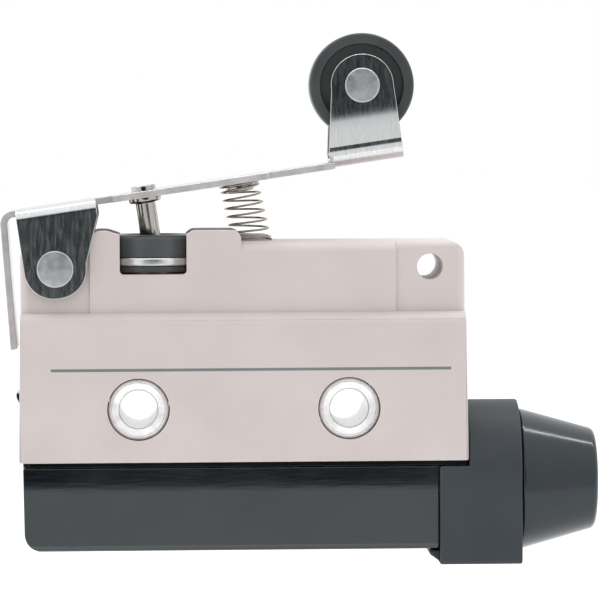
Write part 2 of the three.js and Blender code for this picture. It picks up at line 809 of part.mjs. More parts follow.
function makeTerminalScrew(x) {
  const { head, headBottom, headTop, edge, shank, shankTop, slotHalf, slotDepth } = SCREW;
  const profile = [
    [0, headBottom],
    [head - edge, headBottom],
    [head, headBottom + edge],
    [head, headTop],
    [shank, headTop],
    [shank, shankTop],
    [0, shankTop],
  ];
  const slot = slab(x - head, x + head, slotHalf, headBottom - slotDepth, headBottom + slotDepth);
  return turn(profile, "z", [x, MID_Y, 0], SMALL).subtract(slot);
}

function makeClampWasher(x) {
  const under = SCREW.headTop + SLIP;
  const over = TERMINAL.flangeBottom - SLIP;
  return slab(x - WASHER_HALF, x + WASHER_HALF, WASHER_HALF, under, over).subtract(screwHole(x));
}

// ---------------------------------------------------------------- cover, block and grommet

function makeCover() {
  const { left, right, bottom, top, half, wall, corner } = COVER;
  const side = outline([
    [left, bottom, corner],
    [right, bottom],
    [right, top],
    [left, top],
  ]);
  const tray = sweep(side, "y", MID_Y - half, MID_Y + half);
  const hollow = slab(left + wall, right + BITE, half - wall, bottom + wall, top + BITE);
  const latch = outline([
    [LATCH.left, top - BITE],
    [LATCH.right, top - BITE],
    [LATCH.right, LATCH.top],
    [LATCH.lip, LATCH.top],
    [LATCH.lip, LATCH.lipUnder],
    [LATCH.left, LATCH.neck],
  ]);
  return join(tray.subtract(hollow), sweep(latch, "y", MID_Y - LATCH.half, MID_Y + LATCH.half));
}

function makeGasket() {
  const { left, right, half, openLeft, openRight, openHalf } = GASKET;
  const under = COVER.top + 2 * SLIP;
  const over = BODY.bottom - SLIP;
  const opening = slab(openLeft, openRight, openHalf, under - BITE, over + BITE);
  return slab(left, right, half, under, over).subtract(opening);
}

function makeConduitBlock() {
  const { left, step, right, bottom, shelf, archZ, arch, corner } = BLOCK;
  const steps = SMALL;
  const arc = [...Array(steps + 1).keys()].map((i) => {
    const angle = (Math.PI * i) / steps;
    return [MID_Y + arch * Math.cos(angle), archZ + arch * Math.sin(angle)];
  });
  const section = outline([[MID_Y - arch, bottom, corner], [MID_Y + arch, bottom, corner], ...arc]);
  const foot = outline([
    [FOOT.left, FOOT.top],
    [FOOT.left, FOOT.chamferTop],
    [FOOT.chamferRight, bottom],
    [FOOT.right, bottom],
    [FOOT.right, FOOT.top],
  ]);
  const outletCentre = [0, MID_Y, OUTLET.z];
  const inset = slab(left - BITE, step, arch + BITE, shelf, archZ + arch + BITE);
  const throat = slab(left - BITE, THROAT.right, THROAT.half, THROAT.bottom, THROAT.top);
  return join(
    sweep(section, "x", left, right).subtract(inset),
    sweep(foot, "y", MID_Y - FOOT.half, MID_Y + FOOT.half),
    rod("x", outletCentre, OUTLET.spigot, right - BITE, OUTLET.spigotEnd, FINE),
  )
    .subtract(throat)
    .subtract(rod("x", outletCentre, OUTLET.passage, THROAT.right - SLIP, OUTLET.spigotEnd + BITE, FINE));
}

function makeGrommet() {
  const { large, small, rim, edge } = GROMMET;
  const { end, cable, socket } = OUTLET;
  const start = BLOCK.right + 2 * SLIP;
  const socketEnd = OUTLET.spigotEnd + edge / 3;
  const profile = [
    [socket, start],
    [large, start],
    [small, end - edge],
    [small - edge / 2, end - edge / 4],
    [rim, end],
    [cable, end],
    [cable, socketEnd],
    [socket, socketEnd],
    [socket, start],
  ];
  return turn(profile, "x", [0, MID_Y, OUTLET.z], FINE);
}

// ---------------------------------------------------------------- assembly

function contactGroup() {
  const group = new THREE.Group();
  const armPin = crossRod(ARM.pivotX, ARM.z, ARM_PIN.radius, ARM_PIN.half, SMALL);
  group.add(
    piece("contact_arm", makeContactArm(), MATERIALS.brass),
    piece("moving_contact", makeMovingContact(), MATERIALS.silver),
    piece("arm_pivot_pin", armPin, MATERIALS.stainless),
    piece("contact_spring", makeContactSpring(), MATERIALS.springSteel),
    piece("com_terminal", makeComTerminal(), MATERIALS.brass),
    piece("no_terminal", makeNoTerminal(), MATERIALS.brass),
    piece("nc_terminal", makeNcTerminal(), MATERIALS.brass),
    piece("no_contact", contactRivet(NO_LEAF, 0, RIVET.noHead), MATERIALS.silver),
    piece("nc_contact", contactRivet(NC_LEAF, RIVET.ncHead, 0), MATERIALS.silver),
    piece("terminal_base", makeTerminalBase(), MATERIALS.innerPlastic),
  );
  SCREW.xs.forEach((x, i) => {
    group.add(
      piece("terminal_screw_" + (i + 1), makeTerminalScrew(x), MATERIALS.stainless),
      piece("clamp_washer_" + (i + 1), makeClampWasher(x), MATERIALS.stainless),
    );
  });
  return group;
}

const limitSwitch = new THREE.Group();
limitSwitch.add(
  piece("housing", makeHousing(), MATERIALS.body),
  piece("bush_left", makeBush(-1), MATERIALS.stainless),
  piece("bush_right", makeBush(1), MATERIALS.stainless),
  piece("plunger_guide", makePlungerGuide(), MATERIALS.brass),
  piece("plunger", makePlunger(), MATERIALS.slider),
  piece("seal_boot", makeSealBoot(), MATERIALS.rubber),
  piece("seal_ring", makeSealRing(), MATERIALS.stainless),
  piece("return_spring", makeReturnSpring(), MATERIALS.springSteel),
  piece("terminal_cover", makeCover(), MATERIALS.blackGloss),
  piece("cover_gasket", makeGasket(), MATERIALS.rubber),
  piece("conduit_block", makeConduitBlock(), MATERIALS.darkMatte),
  piece("cable_grommet", makeGrommet(), MATERIALS.rubber),
  leverGroup(),
  contactGroup(),
);

export default limitSwitch;
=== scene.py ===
"""The looks of a roller-lever limit switch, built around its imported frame.

Outlines and places are in millimetres and become metres when a mesh is made. X runs along the body
towards the cable outlet, Y points into the mounting surface and Z points up towards the lever.
"""

import json
import math

import bmesh
import bpy
from mathutils import Matrix, Vector


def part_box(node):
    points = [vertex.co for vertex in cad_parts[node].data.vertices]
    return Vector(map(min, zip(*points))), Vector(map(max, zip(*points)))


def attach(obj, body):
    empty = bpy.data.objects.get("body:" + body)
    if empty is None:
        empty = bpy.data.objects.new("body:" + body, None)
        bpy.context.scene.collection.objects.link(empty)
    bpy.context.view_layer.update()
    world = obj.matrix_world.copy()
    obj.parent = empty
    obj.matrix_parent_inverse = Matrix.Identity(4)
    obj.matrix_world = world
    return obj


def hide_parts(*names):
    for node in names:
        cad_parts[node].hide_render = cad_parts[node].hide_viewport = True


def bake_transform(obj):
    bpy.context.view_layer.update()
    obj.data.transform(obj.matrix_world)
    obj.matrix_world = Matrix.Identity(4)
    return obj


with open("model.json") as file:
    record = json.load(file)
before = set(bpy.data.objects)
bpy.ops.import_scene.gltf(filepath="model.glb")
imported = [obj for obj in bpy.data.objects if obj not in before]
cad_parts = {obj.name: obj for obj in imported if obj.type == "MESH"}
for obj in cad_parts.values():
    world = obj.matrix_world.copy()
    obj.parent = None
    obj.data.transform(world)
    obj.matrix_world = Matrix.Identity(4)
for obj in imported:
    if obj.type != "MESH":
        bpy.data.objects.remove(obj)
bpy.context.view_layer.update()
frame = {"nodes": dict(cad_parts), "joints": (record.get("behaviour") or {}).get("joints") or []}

MM = 0.001


def node_box(node):
    """A CAD node's lowest and highest corners, in millimetres."""
    low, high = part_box(node)
    return low / MM, high / MM


def joint_place(name):
    """The point that a joint turns about, in millimetres."""
    joint = next(j for j in frame["joints"] if j["name"] == name)
    return Vector(joint["pos_m"]) / MM


# ---------------------------------------------------------------- sizes from the frame

HOUSING_LOW, HOUSING_HIGH = node_box("housing")
COVER_LOW, COVER_HIGH = node_box("terminal_cover")
BLOCK_LOW, BLOCK_HIGH = node_box("conduit_block")
GROMMET_LOW, GROMMET_HIGH = node_box("cable_grommet")
BOOT_LOW, BOOT_HIGH = node_box("seal_boot")
RING_LOW, RING_HIGH = node_box("seal_ring")
BUSH_LOW, BUSH_HIGH = node_box("bush_right")

BACK = HOUSING_HIGH.y
FRONT = HOUSING_LOW.y
MID_Y = (BACK + FRONT) / 2
HALF_LENGTH = HOUSING_HIGH.x
BOTTOM = HOUSING_LOW.z
GUARD_TOP = HOUSING_HIGH.z

HOLE_X = (BUSH_LOW.x + BUSH_HIGH.x) / 2
WELL_X = (BOOT_LOW.x + BOOT_HIGH.x) / 2
WELL_FLOOR = 16.2
WELL_RADIUS = 6.2
BOOT_RADIUS = (BOOT_HIGH.x - BOOT_LOW.x) / 2

BAND_TOP = 11.6
TOP = 20.1
UPPER_ROOT = BAND_TOP - 2
MID_HALF_LENGTH = 18.5
MID_HALF_DEPTH = 7.3
END_HALF_DEPTH = 7.0

PIVOT = joint_place("lever_pivot")
ROLLER_AXIS = joint_place("roller_spin")
PIVOT_BORE = 1.55
RETURN_SPRING_X = 1.25

# The lever's own frame has its origin at the pivot, U along the arm and N out of its sheet.
TILT = math.radians(8.25)
SHEET_UNDER = 6.83
SHEET_TOP = 7.63
ROLLER_U = 40.05
ROLLER_N = 16.37
PUSH_PIN_U = 11.9
STUD_U = 23.5
CHEEK_INNER = 7.45
CHEEK_OUTER = 8.25
FORK_LEFT = 34.8
FORK_RIGHT = 43.85
FORK_OUTER = 3.45
SLIP = 0.05

COVER_LEFT = -26.65
COVER_TOP = -7.1

OUTLET_Z = (GROMMET_LOW.z + GROMMET_HIGH.z) / 2

# A sweep that cuts or is cut runs from -PAST to PAST, past both ends of the body.
PAST = 30


# ---------------------------------------------------------------- mesh helpers


def outline(corners, step_degrees=6):
    """The points of a flat outline from corners (a, b, radius), with arcs at the corners that have one."""
    points = []
    count = len(corners)
    for i, corner in enumerate(corners):
        here = Vector(corner[:2])
        radius = corner[2] if len(corner) > 2 else 0
        if not radius:
            points.append(here)
            continue
        before = (Vector(corners[i - 1][:2]) - here).normalized()
        after = (Vector(corners[(i + 1) % count][:2]) - here).normalized()
        half = math.acos(max(-1, min(1, before.dot(after)))) / 2
        centre = here + (before + after).normalized() * (radius / math.sin(half))
        start = here + before * (radius / math.tan(half)) - centre
        end = here + after * (radius / math.tan(half)) - centre
        sweep_angle = math.atan2(start.x * end.y - start.y * end.x, start.dot(end))
        steps = max(2, round(abs(math.degrees(sweep_angle)) / step_degrees))
        for step in range(steps + 1):
            turned = Matrix.Rotation(sweep_angle * step / steps, 2) @ start
            points.append(centre + turned)
    return points


def rectangle(left, right, low, high, low_radius=0, high_radius=0):
    """The outline of a rectangle whose two low and two high corners may be rounded."""
    return outline([
        (left, low, low_radius),
        (right, low, low_radius),
        (right, high, high_radius),
        (left, high, high_radius),
    ])


def object_from(bm, name):
    """A new object from a bmesh in millimetres."""
    bmesh.ops.remove_doubles(bm, verts=bm.verts, dist=1e-5)
    bmesh.ops.recalc_face_normals(bm, faces=bm.faces)
    mesh = bpy.data.meshes.new(name)
    bm.to_mesh(mesh)
    bm.free()
    obj = bpy.data.objects.new(name, mesh)
    bpy.context.scene.collection.objects.link(obj)
    return obj


SWEEP_FRAMES = {
    "x": lambda a, b, c: (c, a, b),
    "y": lambda a, b, c: (a, c, b),
    "z": lambda a, b, c: (a, b, c),
}


def sweep(points, axis, start, end, name="sweep"):
    """An outline swept along an axis. Its coordinates are the other two axes, in the order X, Y, Z."""
    place = SWEEP_FRAMES[axis]
    bm = bmesh.new()
    rings = [[bm.verts.new(place(p[0], p[1], c)) for p in points] for c in (start, end)]
    bm.faces.new(rings[0])
    bm.faces.new(rings[1])
    for i in range(len(points)):
        bm.faces.new((rings[0][i - 1], rings[0][i], rings[1][i], rings[1][i - 1]))
    return object_from(bm, name)


def block(low, high, name="block"):
    """A box between two opposite corners."""
    corners = [(low[0], low[1]), (high[0], low[1]), (high[0], high[1]), (low[0], high[1])]
    return sweep(corners, "z", low[2], high[2], name)


def slab(x0, x1, half, z0, z1, middle=None):
    """A block centred on a plane across Y."""
    middle = MID_Y if middle is None else middle
    return block((x0, middle - half, z0), (x1, middle + half, z1))


def turned(points, axis, centre, segments=96, name="turned"):
    """A closed outline of (radius, position) points, turned about a line along an axis."""
    place = {
        "x": lambda r, c, s, t: (t, r * c, r * s),
        "y": lambda r, c, s, t: (r * c, t, r * s),
        "z": lambda r, c, s, t: (r * c, r * s, t),
    }[axis]
    bm = bmesh.new()
    rings = []
    for i in range(segments):
        angle = 2 * math.pi * i / segments
        ring = [place(p[0], math.cos(angle), math.sin(angle), p[1]) for p in points]
        rings.append([bm.verts.new(Vector(v) + Vector(centre)) for v in ring])
    for i in range(segments):
        for j in range(len(points)):
            bm.faces.new((rings[i - 1][j - 1], rings[i - 1][j], rings[i][j], rings[i][j - 1]))
    bmesh.ops.remove_doubles(bm, verts=bm.verts, dist=1e-5)
    bmesh.ops.dissolve_degenerate(bm, edges=bm.edges, dist=1e-5)
    loose = [edge for edge in bm.edges if not edge.link_faces]
    bmesh.ops.delete(bm, geom=loose, context="EDGES")
    return object_from(bm, name)


def rod(axis, centre, radius, start, end, segments=64):
    """A round bar along an axis."""
    corners = [(0, start), (radius, start), (radius, end), (0, end)]
    return turned(corners, axis, centre, segments)


def cross_rod(x, z, radius, half, segments=64, middle=None):
    """A round bar along Y, centred on a plane across Y."""
    middle = MID_Y if middle is None else middle
    return rod("y", (x, middle, z), radius, -half, half, segments)


def bake(obj):
    """Replaces the mesh by what its modifiers make of it."""
    bpy.context.view_layer.update()
    evaluated = obj.evaluated_get(bpy.context.evaluated_depsgraph_get())
    baked = bpy.data.meshes.new_from_object(evaluated)
    obj.modifiers.clear()
    obj.data = baked
    return obj


def combine(base, others, operation):
    """Joins, cuts or intersects a solid with others, which are used up."""
    for other in others:
        modifier = base.modifiers.new(operation, "BOOLEAN")
        modifier.operation = operation
        modifier.solver = "EXACT"
        modifier.object = other
    bake(base)
    for other in others:
        bpy.data.objects.remove(other)
    return base


def join(base, *others):
    return combine(base, others, "UNION")


def cut(base, *others):
    return combine(base, others, "DIFFERENCE")


def common(base, *others):
    return combine(base, others, "INTERSECT")


def soften(obj, width, segments=3, angle=32):
    """Rounds the outward edges over an angle, and shades the rest smooth where it is curved."""
    bm = bmesh.new()
    bm.from_mesh(obj.data)
    bmesh.ops.remove_doubles(bm, verts=bm.verts, dist=2e-4)
    bmesh.ops.dissolve_limit(bm, angle_limit=math.radians(0.5), verts=bm.verts, edges=bm.edges)
    weights = bm.edges.layers.float.new("bevel_weight_edge")
    for edge in bm.edges:
        edge[weights] = float(edge.calc_face_angle_signed(0) > math.radians(angle))
    bm.to_mesh(obj.data)
    bm.free()
    modifier = obj.modifiers.new("edges", "BEVEL")
    modifier.width = width
    modifier.segments = segments
    modifier.limit_method = "WEIGHT"
    modifier.use_clamp_overlap = False
    smooth(bake(obj))
    weighted = obj.modifiers.new("flat_faces", "WEIGHTED_NORMAL")
    weighted.mode = "FACE_AREA"
    weighted.weight = 100
    weighted.keep_sharp = True
    return bake(obj)


def smooth(obj, angle=32):
    """Shades a mesh smooth, except at edges over an angle."""
    obj.data.polygons.foreach_set("use_smooth", [True] * len(obj.data.polygons))
    obj.data.set_sharp_from_angle(angle=math.radians(angle))
    return obj


def show(obj, name, nodes, material, body=None):
    """Brings a finished millimetre mesh to metres, and makes it stand for CAD nodes."""
    obj.data.transform(Matrix.Scale(MM, 4))
    obj.name = name
    obj.data.name = name
    obj.data.materials.clear()
    obj.data.materials.append(material)
    if nodes:
        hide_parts(*nodes)
    if body:
        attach(obj, body)
    return obj


# ---------------------------------------------------------------- materials


class Shader:
    """A material with a Principled shader and a few nodes in front of it."""

    def __init__(self, name):
        self.material = bpy.data.materials.new(name)
        self.material.use_nodes = True
        self.tree = self.material.node_tree
        self.surface = self.tree.nodes["Principled BSDF"]
        self.place = self.tree.nodes.new("ShaderNodeTexCoord").outputs["Object"]

    def set(self, **values):
        for key, value in values.items():
            socket = self.surface.inputs[key.replace("_", " ")]
            socket.default_value = (*value, 1) if isinstance(value, tuple) else value
        return self

    def noise(self, scale, stretch=(1, 1, 1), detail=4, roughness=0.5):
        mapping = self.tree.nodes.new("ShaderNodeMapping")
        mapping.inputs["Scale"].default_value = stretch
        self.tree.links.new(self.place, mapping.inputs["Vector"])
        noise = self.tree.nodes.new("ShaderNodeTexNoise")
        noise.inputs["Scale"].default_value = scale
        noise.inputs["Detail"].default_value = detail
        noise.inputs["Roughness"].default_value = roughness
        self.tree.links.new(mapping.outputs["Vector"], noise.inputs["Vector"])
        return noise.outputs["Fac"]

    def spread(self, value, low, high, source=(0.2, 0.8)):
        """Brings a noise value to a range, as a number for a socket."""
        node = self.tree.nodes.new("ShaderNodeMapRange")
        node.inputs["From Min"].default_value = source[0]
        node.inputs["From Max"].default_value = source[1]
        node.inputs["To Min"].default_value = low
        node.inputs["To Max"].default_value = high
        self.tree.links.new(value, node.inputs["Value"])
        return node.outputs["Result"]

    def colour(self, value, dark, light, source=(0.2, 0.8)):
        ramp = self.tree.nodes.new("ShaderNodeValToRGB")
        ramp.color_ramp.elements[0].position = source[0]
        ramp.color_ramp.elements[0].color = (*dark, 1)
        ramp.color_ramp.elements[1].position = source[1]
        ramp.color_ramp.elements[1].color = (*light, 1)
        self.tree.links.new(value, ramp.inputs["Fac"])
        self.tree.links.new(ramp.outputs["Color"], self.surface.inputs["Base Color"])
        return self

    def rough(self, value):
        self.tree.links.new(value, self.surface.inputs["Roughness"])
        return self

    def bump(self, value, strength, distance=MM * 0.05):
        bump = self.tree.nodes.new("ShaderNodeBump")
        bump.inputs["Strength"].default_value = strength
        bump.inputs["Distance"].default_value = distance
        self.tree.links.new(value, bump.inputs["Height"])
        self.tree.links.new(bump.outputs["Normal"], self.surface.inputs["Normal"])
        return self


def moulded(name, dark, light, roughness, bump, gloss=0.5, tint=(1.0, 1.0, 1.0), stretch=(1, 1, 1)):
    """A moulded plastic or rubber: faint clouds of colour, a fine grain and uneven gloss."""
    shader = Shader(name).set(Specular_IOR_Level=gloss, Specular_Tint=tint)
    clouds = shader.noise(140, detail=3)
    grain = shader.noise(2600, stretch, detail=2)
    shader.colour(clouds, dark, light)
    shader.rough(shader.spread(clouds, roughness - 0.05, roughness + 0.05))
    return shader.bump(grain, bump, MM * 0.02).material


def rolled(name, dark, light, roughness, stretch, bump, scale=900):
    """Rolled or drawn metal, with fine streaks along one direction."""
    shader = Shader(name).set(Metallic=1.0)
    streaks = shader.noise(scale, stretch, detail=5, roughness=0.6)
    shader.colour(streaks, dark, light)
    shader.rough(shader.spread(streaks, roughness - 0.05, roughness + 0.07))
    return shader.bump(streaks, bump, MM * 0.01).material


RUBBER_TINT = (0.88, 0.97, 1.0)

BODY = moulded("pale_plastic", (0.605, 0.535, 0.520), (0.660, 0.590, 0.575), 0.40, 0.6)
COVER = moulded("black_gloss_plastic", (0.004, 0.005, 0.007), (0.007, 0.008, 0.011), 0.12, 0.2, 1.0,
                (0.90, 0.98, 1.0), (0.12, 1, 1))
CONDUIT = moulded("dark_matte_plastic", (0.042, 0.049, 0.056), (0.053, 0.062, 0.069), 0.48, 0.2, 0.2)
RUBBER = moulded("black_rubber", (0.011, 0.014, 0.018), (0.020, 0.024, 0.029), 0.15, 0.3, 0.5, RUBBER_TINT,
                 (1, 0.1, 0.1))
GASKET = moulded("gasket_rubber", (0.003, 0.004, 0.005), (0.006, 0.007, 0.008), 0.12, 0.1, 0.3)
SEAL = moulded("seal_rubber", (0.060, 0.068, 0.070), (0.075, 0.084, 0.086), 0.34, 0.10)
ROLLER = moulded("roller_nylon", (0.040, 0.045, 0.046), (0.060, 0.066, 0.067), 0.40, 0.8)
STEEL = rolled("lever_steel", (0.53, 0.545, 0.56), (0.74, 0.735, 0.73), 0.15, (1, 1, 0.15), 0.25, 3500)
CUT_STEEL = rolled("cut_steel_edge", (0.50, 0.48, 0.485), (0.70, 0.67, 0.675), 0.55, (1, 1, 1), 0.15)
PIN_STEEL = rolled("pin_steel", (0.36, 0.34, 0.32), (0.60, 0.58, 0.55), 0.11, (1, 1, 0.05), 0.06)
RIVET_STEEL = rolled("rivet_steel", (0.46, 0.47, 0.49), (0.70, 0.705, 0.72), 0.36, (1, 1, 1), 0.3)
BRIGHT_STEEL = rolled("bright_steel", (0.62, 0.61, 0.62), (0.98, 0.97, 0.96), 0.30, (1, 1, 1), 0.2)
WIRE = rolled("spring_wire", (0.30, 0.27, 0.23), (0.42, 0.39, 0.34), 0.16, (1, 1, 1), 0.03)
BRASS = rolled("contact_brass", (0.66, 0.49, 0.22), (0.74, 0.57, 0.28), 0.28, (0.1, 1, 1), 0.08)
SILVER = rolled("contact_silver", (0.80, 0.79, 0.76), (0.88, 0.87, 0.84), 0.3, (1, 1, 1), 0.05)
PHENOLIC = moulded("brown_phenolic", (0.085, 0.045, 0.028), (0.11, 0.06, 0.038), 0.4, 0.10)
ACETAL = moulded("natural_acetal", (0.70, 0.67, 0.60), (0.76, 0.73, 0.66), 0.42, 0.06)
INK = moulded("print_ink", (0.16, 0.185, 0.18), (0.20, 0.225, 0.22), 0.55, 0.02)


# ---------------------------------------------------------------- housing


def housing_band():
    """The deep lower band, with drafted ends and a round along its top edges."""
    draft, shoulder, corner = 0.25, 1.5, 0.6
    over = BAND_TOP + 0.01
    side = [
        (-HALF_LENGTH, BOTTOM),
        (HALF_LENGTH, BOTTOM),
        (HALF_LENGTH - draft, over),
        (-HALF_LENGTH + draft, over),
    ]
    section = rectangle(FRONT, BACK, BOTTOM - 1, BAND_TOP, 0, shoulder)
    plan = rectangle(-HALF_LENGTH, HALF_LENGTH, FRONT, BACK, corner, corner)
    band = common(sweep(side, "y", FRONT - 1, BACK + 1), sweep(section, "x", -PAST, PAST))
    return common(band, sweep(plan, "z", BOTTOM - 1, BAND_TOP + 1))


def housing_middle():
    """The middle of the upper half."""
    front, back = MID_Y - MID_HALF_DEPTH, MID_Y + MID_HALF_DEPTH
    section = rectangle(front, back, UPPER_ROOT, TOP, 0, 1.4)
    return sweep(section, "x", -MID_HALF_LENGTH, MID_HALF_LENGTH)


def housing_ends():
    """The two thinner ends of the upper half, rounded along every edge that shows."""
    reach = HALF_LENGTH - 0.27
    front, back, edge = MID_Y - END_HALF_DEPTH, MID_Y + END_HALF_DEPTH, 1.0
    side = rectangle(-reach, reach, UPPER_ROOT, TOP, 0, 2.0)
    section = rectangle(front, back, UPPER_ROOT, TOP, 0, edge)
    plan = rectangle(-reach, reach, front, back, edge, edge)
    return common(
        sweep(side, "y", front, back),
        sweep(section, "x", -PAST, PAST),
        sweep(plan, "z", UPPER_ROOT - 1, TOP + 1),
    )


def guard_walls():
    """The front and back walls beside the plunger well, a little lower where they meet the window."""
    right, dip, wall = -0.2, 0.6, 3.0
    side = outline([
        (-MID_HALF_LENGTH, BAND_TOP), (right, BAND_TOP), (right, GUARD_TOP, 1.1), (-6.1, GUARD_TOP, 1.0),
        (-6.9, GUARD_TOP - dip), (-14.6, GUARD_TOP - dip), (-16.4, GUARD_TOP, 2.0),
        (-MID_HALF_LENGTH, GUARD_TOP, 1.2),
    ])
    outer, inner = MID_HALF_DEPTH, MID_HALF_DEPTH - wall
    return [sweep(side, "y", MID_Y - outer, MID_Y - inner), sweep(side, "y", MID_Y + inner, MID_Y + outer)]


def housing_chamber():
    """The room for the contacts, round the bosses of the mounting holes."""
    lower_half_length, lower_half_depth, lower_top = 24.2, 7.1, 10.1
    upper_half_length, upper_half_depth, upper_top = 17.0, 5.8, 13.2
    boss_radius, boss_half = 5.2, 9
    seat_half, seat_top = 2.5, 5.6
    lower = slab(-lower_half_length, lower_half_length, lower_half_depth, BOTTOM - 1, lower_top)
    upper = slab(-upper_half_length, upper_half_length, upper_half_depth, 0, upper_top)
    chamber = join(lower, upper)
    bosses = [cross_rod(side * HOLE_X, 0, boss_radius, boss_half) for side in (-1, 1)]
    spring_seat = slab(WELL_X - seat_half, WELL_X + seat_half, seat_half, 0, seat_top)
    return cut(chamber, spring_seat, *bosses)


def make_housing():
    body = join(housing_band(), housing_middle(), housing_ends(), *guard_walls())
    knob_radius, knob_height = 1.7, 0.8
    body = join(body, rod("z", (RETURN_SPRING_X, MID_Y, 0), knob_radius, TOP - 1, TOP + knob_height))
    well_axis = (WELL_X, MID_Y, 0)
    window = rectangle(-14.85, -6.8, WELL_FLOOR, 23, 0.5)
    guide_bore = 2.7
    bush_hole = 3.75
    through = 12
    latch_left, latch_half, latch_top = -25.85, 3.3, 2.6
    cutters = [
        housing_chamber(),
        rod("z", well_axis, WELL_RADIUS, WELL_FLOOR, 24, 96),
        sweep(window, "y", MID_Y - 9, MID_Y + 9),
        rod("z", well_axis, guide_bore, 12, 17),
        slab(-PAST, latch_left, latch_half, BOTTOM - 1, latch_top),
    ]
    for side in (-1, 1):
        cutters.append(cross_rod(side * HOLE_X, 0, bush_hole, through, 96))
        cutters.append(cross_rod(side * -PIVOT.x, PIVOT.z, PIVOT_BORE, through))
    body = soften(cut(body, *cutters), 0.14)
    return show(body, "housing_moulding", ["housing"], BODY, "housing")


def make_bush(side, node):
    half = (BUSH_HIGH.y - BUSH_LOW.y) / 2
    radius = (BUSH_HIGH.x - BUSH_LOW.x) / 2
    bore, dish, rim, chamfer = 2.3, 0.45, 0.4, 0.25
    section = outline([
        (bore, -half + dish, 0.3), (radius - rim, -half, 0.2), (radius, -half + chamfer, 0.15),
        (radius, half - chamfer, 0.15), (radius - rim, half, 0.2), (bore, half - dish, 0.3),
    ], 10)
    bush = smooth(turned(section, "y", (side * HOLE_X, MID_Y, 0), name=node))
    return show(bush, node + "_sleeve", [node], BRIGHT_STEEL, "housing")


def make_print():
    """The printed line across the front of the band."""
    left, right, low, high = -23.2, 25.0, 4.6, 4.95
    proud, sunk = 0.004, 0.1
    line = block((left, FRONT - proud, low), (right, FRONT + sunk, high))
    return show(line, "printed_line", [], INK, "housing")


# ---------------------------------------------------------------- plunger seal


def make_boot():
    """The seal's stiff outer cup, with a groove for the ring."""
    foot, radius, mouth = 4.6, BOOT_RADIUS, 3.5
    groove = radius - 0.4
    low, high = RING_LOW.z - SLIP, RING_HIGH.z + SLIP
    section = outline([
        (foot, BOOT_LOW.z), (radius, BOOT_LOW.z, 0.15), (radius, low), (groove, low), (groove, high),
        (radius, high), (radius, BOOT_HIGH.z, 0.55), (mouth, BOOT_HIGH.z, 0.5), (mouth, 20.0), (foot, 19.2),
    ])
    cup = smooth(turned(section, "z", (WELL_X, MID_Y, 0), 128))
    return show(cup, "seal_boot_cup", ["seal_boot"], SEAL, "housing")


def make_membrane():
    """The thin funnel in the middle of the seal, which follows the plunger."""
    section = outline([
        (0, 17.45), (1.6, 17.45, 0.3), (1.75, 18.2, 1.0), (3.6, 20.05), (3.6, 20.45),
        (3.3, 20.45), (1.35, 18.4, 0.6), (1.2, 17.95, 0.1), (0, 17.95),
    ])
    membrane = smooth(turned(section, "z", (WELL_X, MID_Y, 0), 96), 50)
    show(membrane, "seal_boot_membrane", ["seal_boot"], SEAL)
    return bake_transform(membrane)


def make_ring():
    """The bright band in the seal's groove."""
    radius = (RING_HIGH.x - RING_LOW.x) / 2
    inner, edge = radius - 0.4, 0.25
    section = outline([
        (inner, RING_LOW.z), (radius, RING_LOW.z, edge), (radius, RING_HIGH.z, edge), (inner, RING_HIGH.z),
    ], 12)
    ring = smooth(turned(section, "z", (WELL_X, MID_Y, 0), 128))
    return show(ring, "seal_ring_band", ["seal_ring"], BRIGHT_STEEL, "housing")


# ---------------------------------------------------------------- lever

LEVER_FRAME = Matrix.Translation(Vector((PIVOT.x, PIVOT.y, PIVOT.z))) @ Matrix.Rotation(-TILT, 4, "Y")


def in_place(obj):
    """Moves a mesh from the lever's own frame to its rest place."""
    obj.data.transform(LEVER_FRAME)
    return obj


def lever_point(u, n):
    """A rest place from the lever's own frame."""
    return LEVER_FRAME @ Vector((u, 0, n))


def channel(u0, u1, inner, outer, up, reach, bend):
    """A length of bent sheet: a web on the lever's plate and two flanges, up or down."""
    outer_z, inner_z = (SHEET_UNDER, SHEET_TOP) if up else (SHEET_TOP, SHEET_UNDER)
    thin = bend - (outer - inner)
    rim = [
        (-outer, reach), (-outer, outer_z, bend), (outer, outer_z, bend), (outer, reach),
        (inner, reach), (inner, inner_z, thin), (-inner, inner_z, thin), (-inner, reach),
    ]
    return sweep(outline(rim), "x", u0, u1)


def lever_bracket():
    """The bent bracket at the pivot, with a cheek on each side of the housing."""
    left, right, foot, round_foot = -3.75, 6.0, -3.6, 3.55
    over = SHEET_TOP + 1
    side = outline([
        (left, over), (left, foot, round_foot), (-left, foot, round_foot), (-left, 0, 1.5), (right, 5.5, 1.0),
        (right, over),
    ])
    sheet = channel(left, right, CHEEK_INNER, CHEEK_OUTER, False, -6, 1.3)
    return common(sheet, sweep(side, "y", -10, 10))


def lever_arm():
    """The flat arm: a short neck, a wide stretch over the plunger and spring, and a narrower end."""
    start, wide_start, wide_end, end = 5.5, 8.0, 27.2, 35.3
    neck, wide, narrow, corner = 3.6, 6.2, 4.4, 0.4
    plan = outline([
        (start, -neck), (wide_start, -neck), (wide_start, -wide, corner), (wide_end, -wide, corner),
        (wide_end, -narrow), (end, -narrow), (end, narrow), (wide_end, narrow),
        (wide_end, wide, corner), (wide_start, wide, corner), (wide_start, neck), (start, neck),
    ])
    return sweep(plan, "z", SHEET_UNDER, SHEET_TOP)


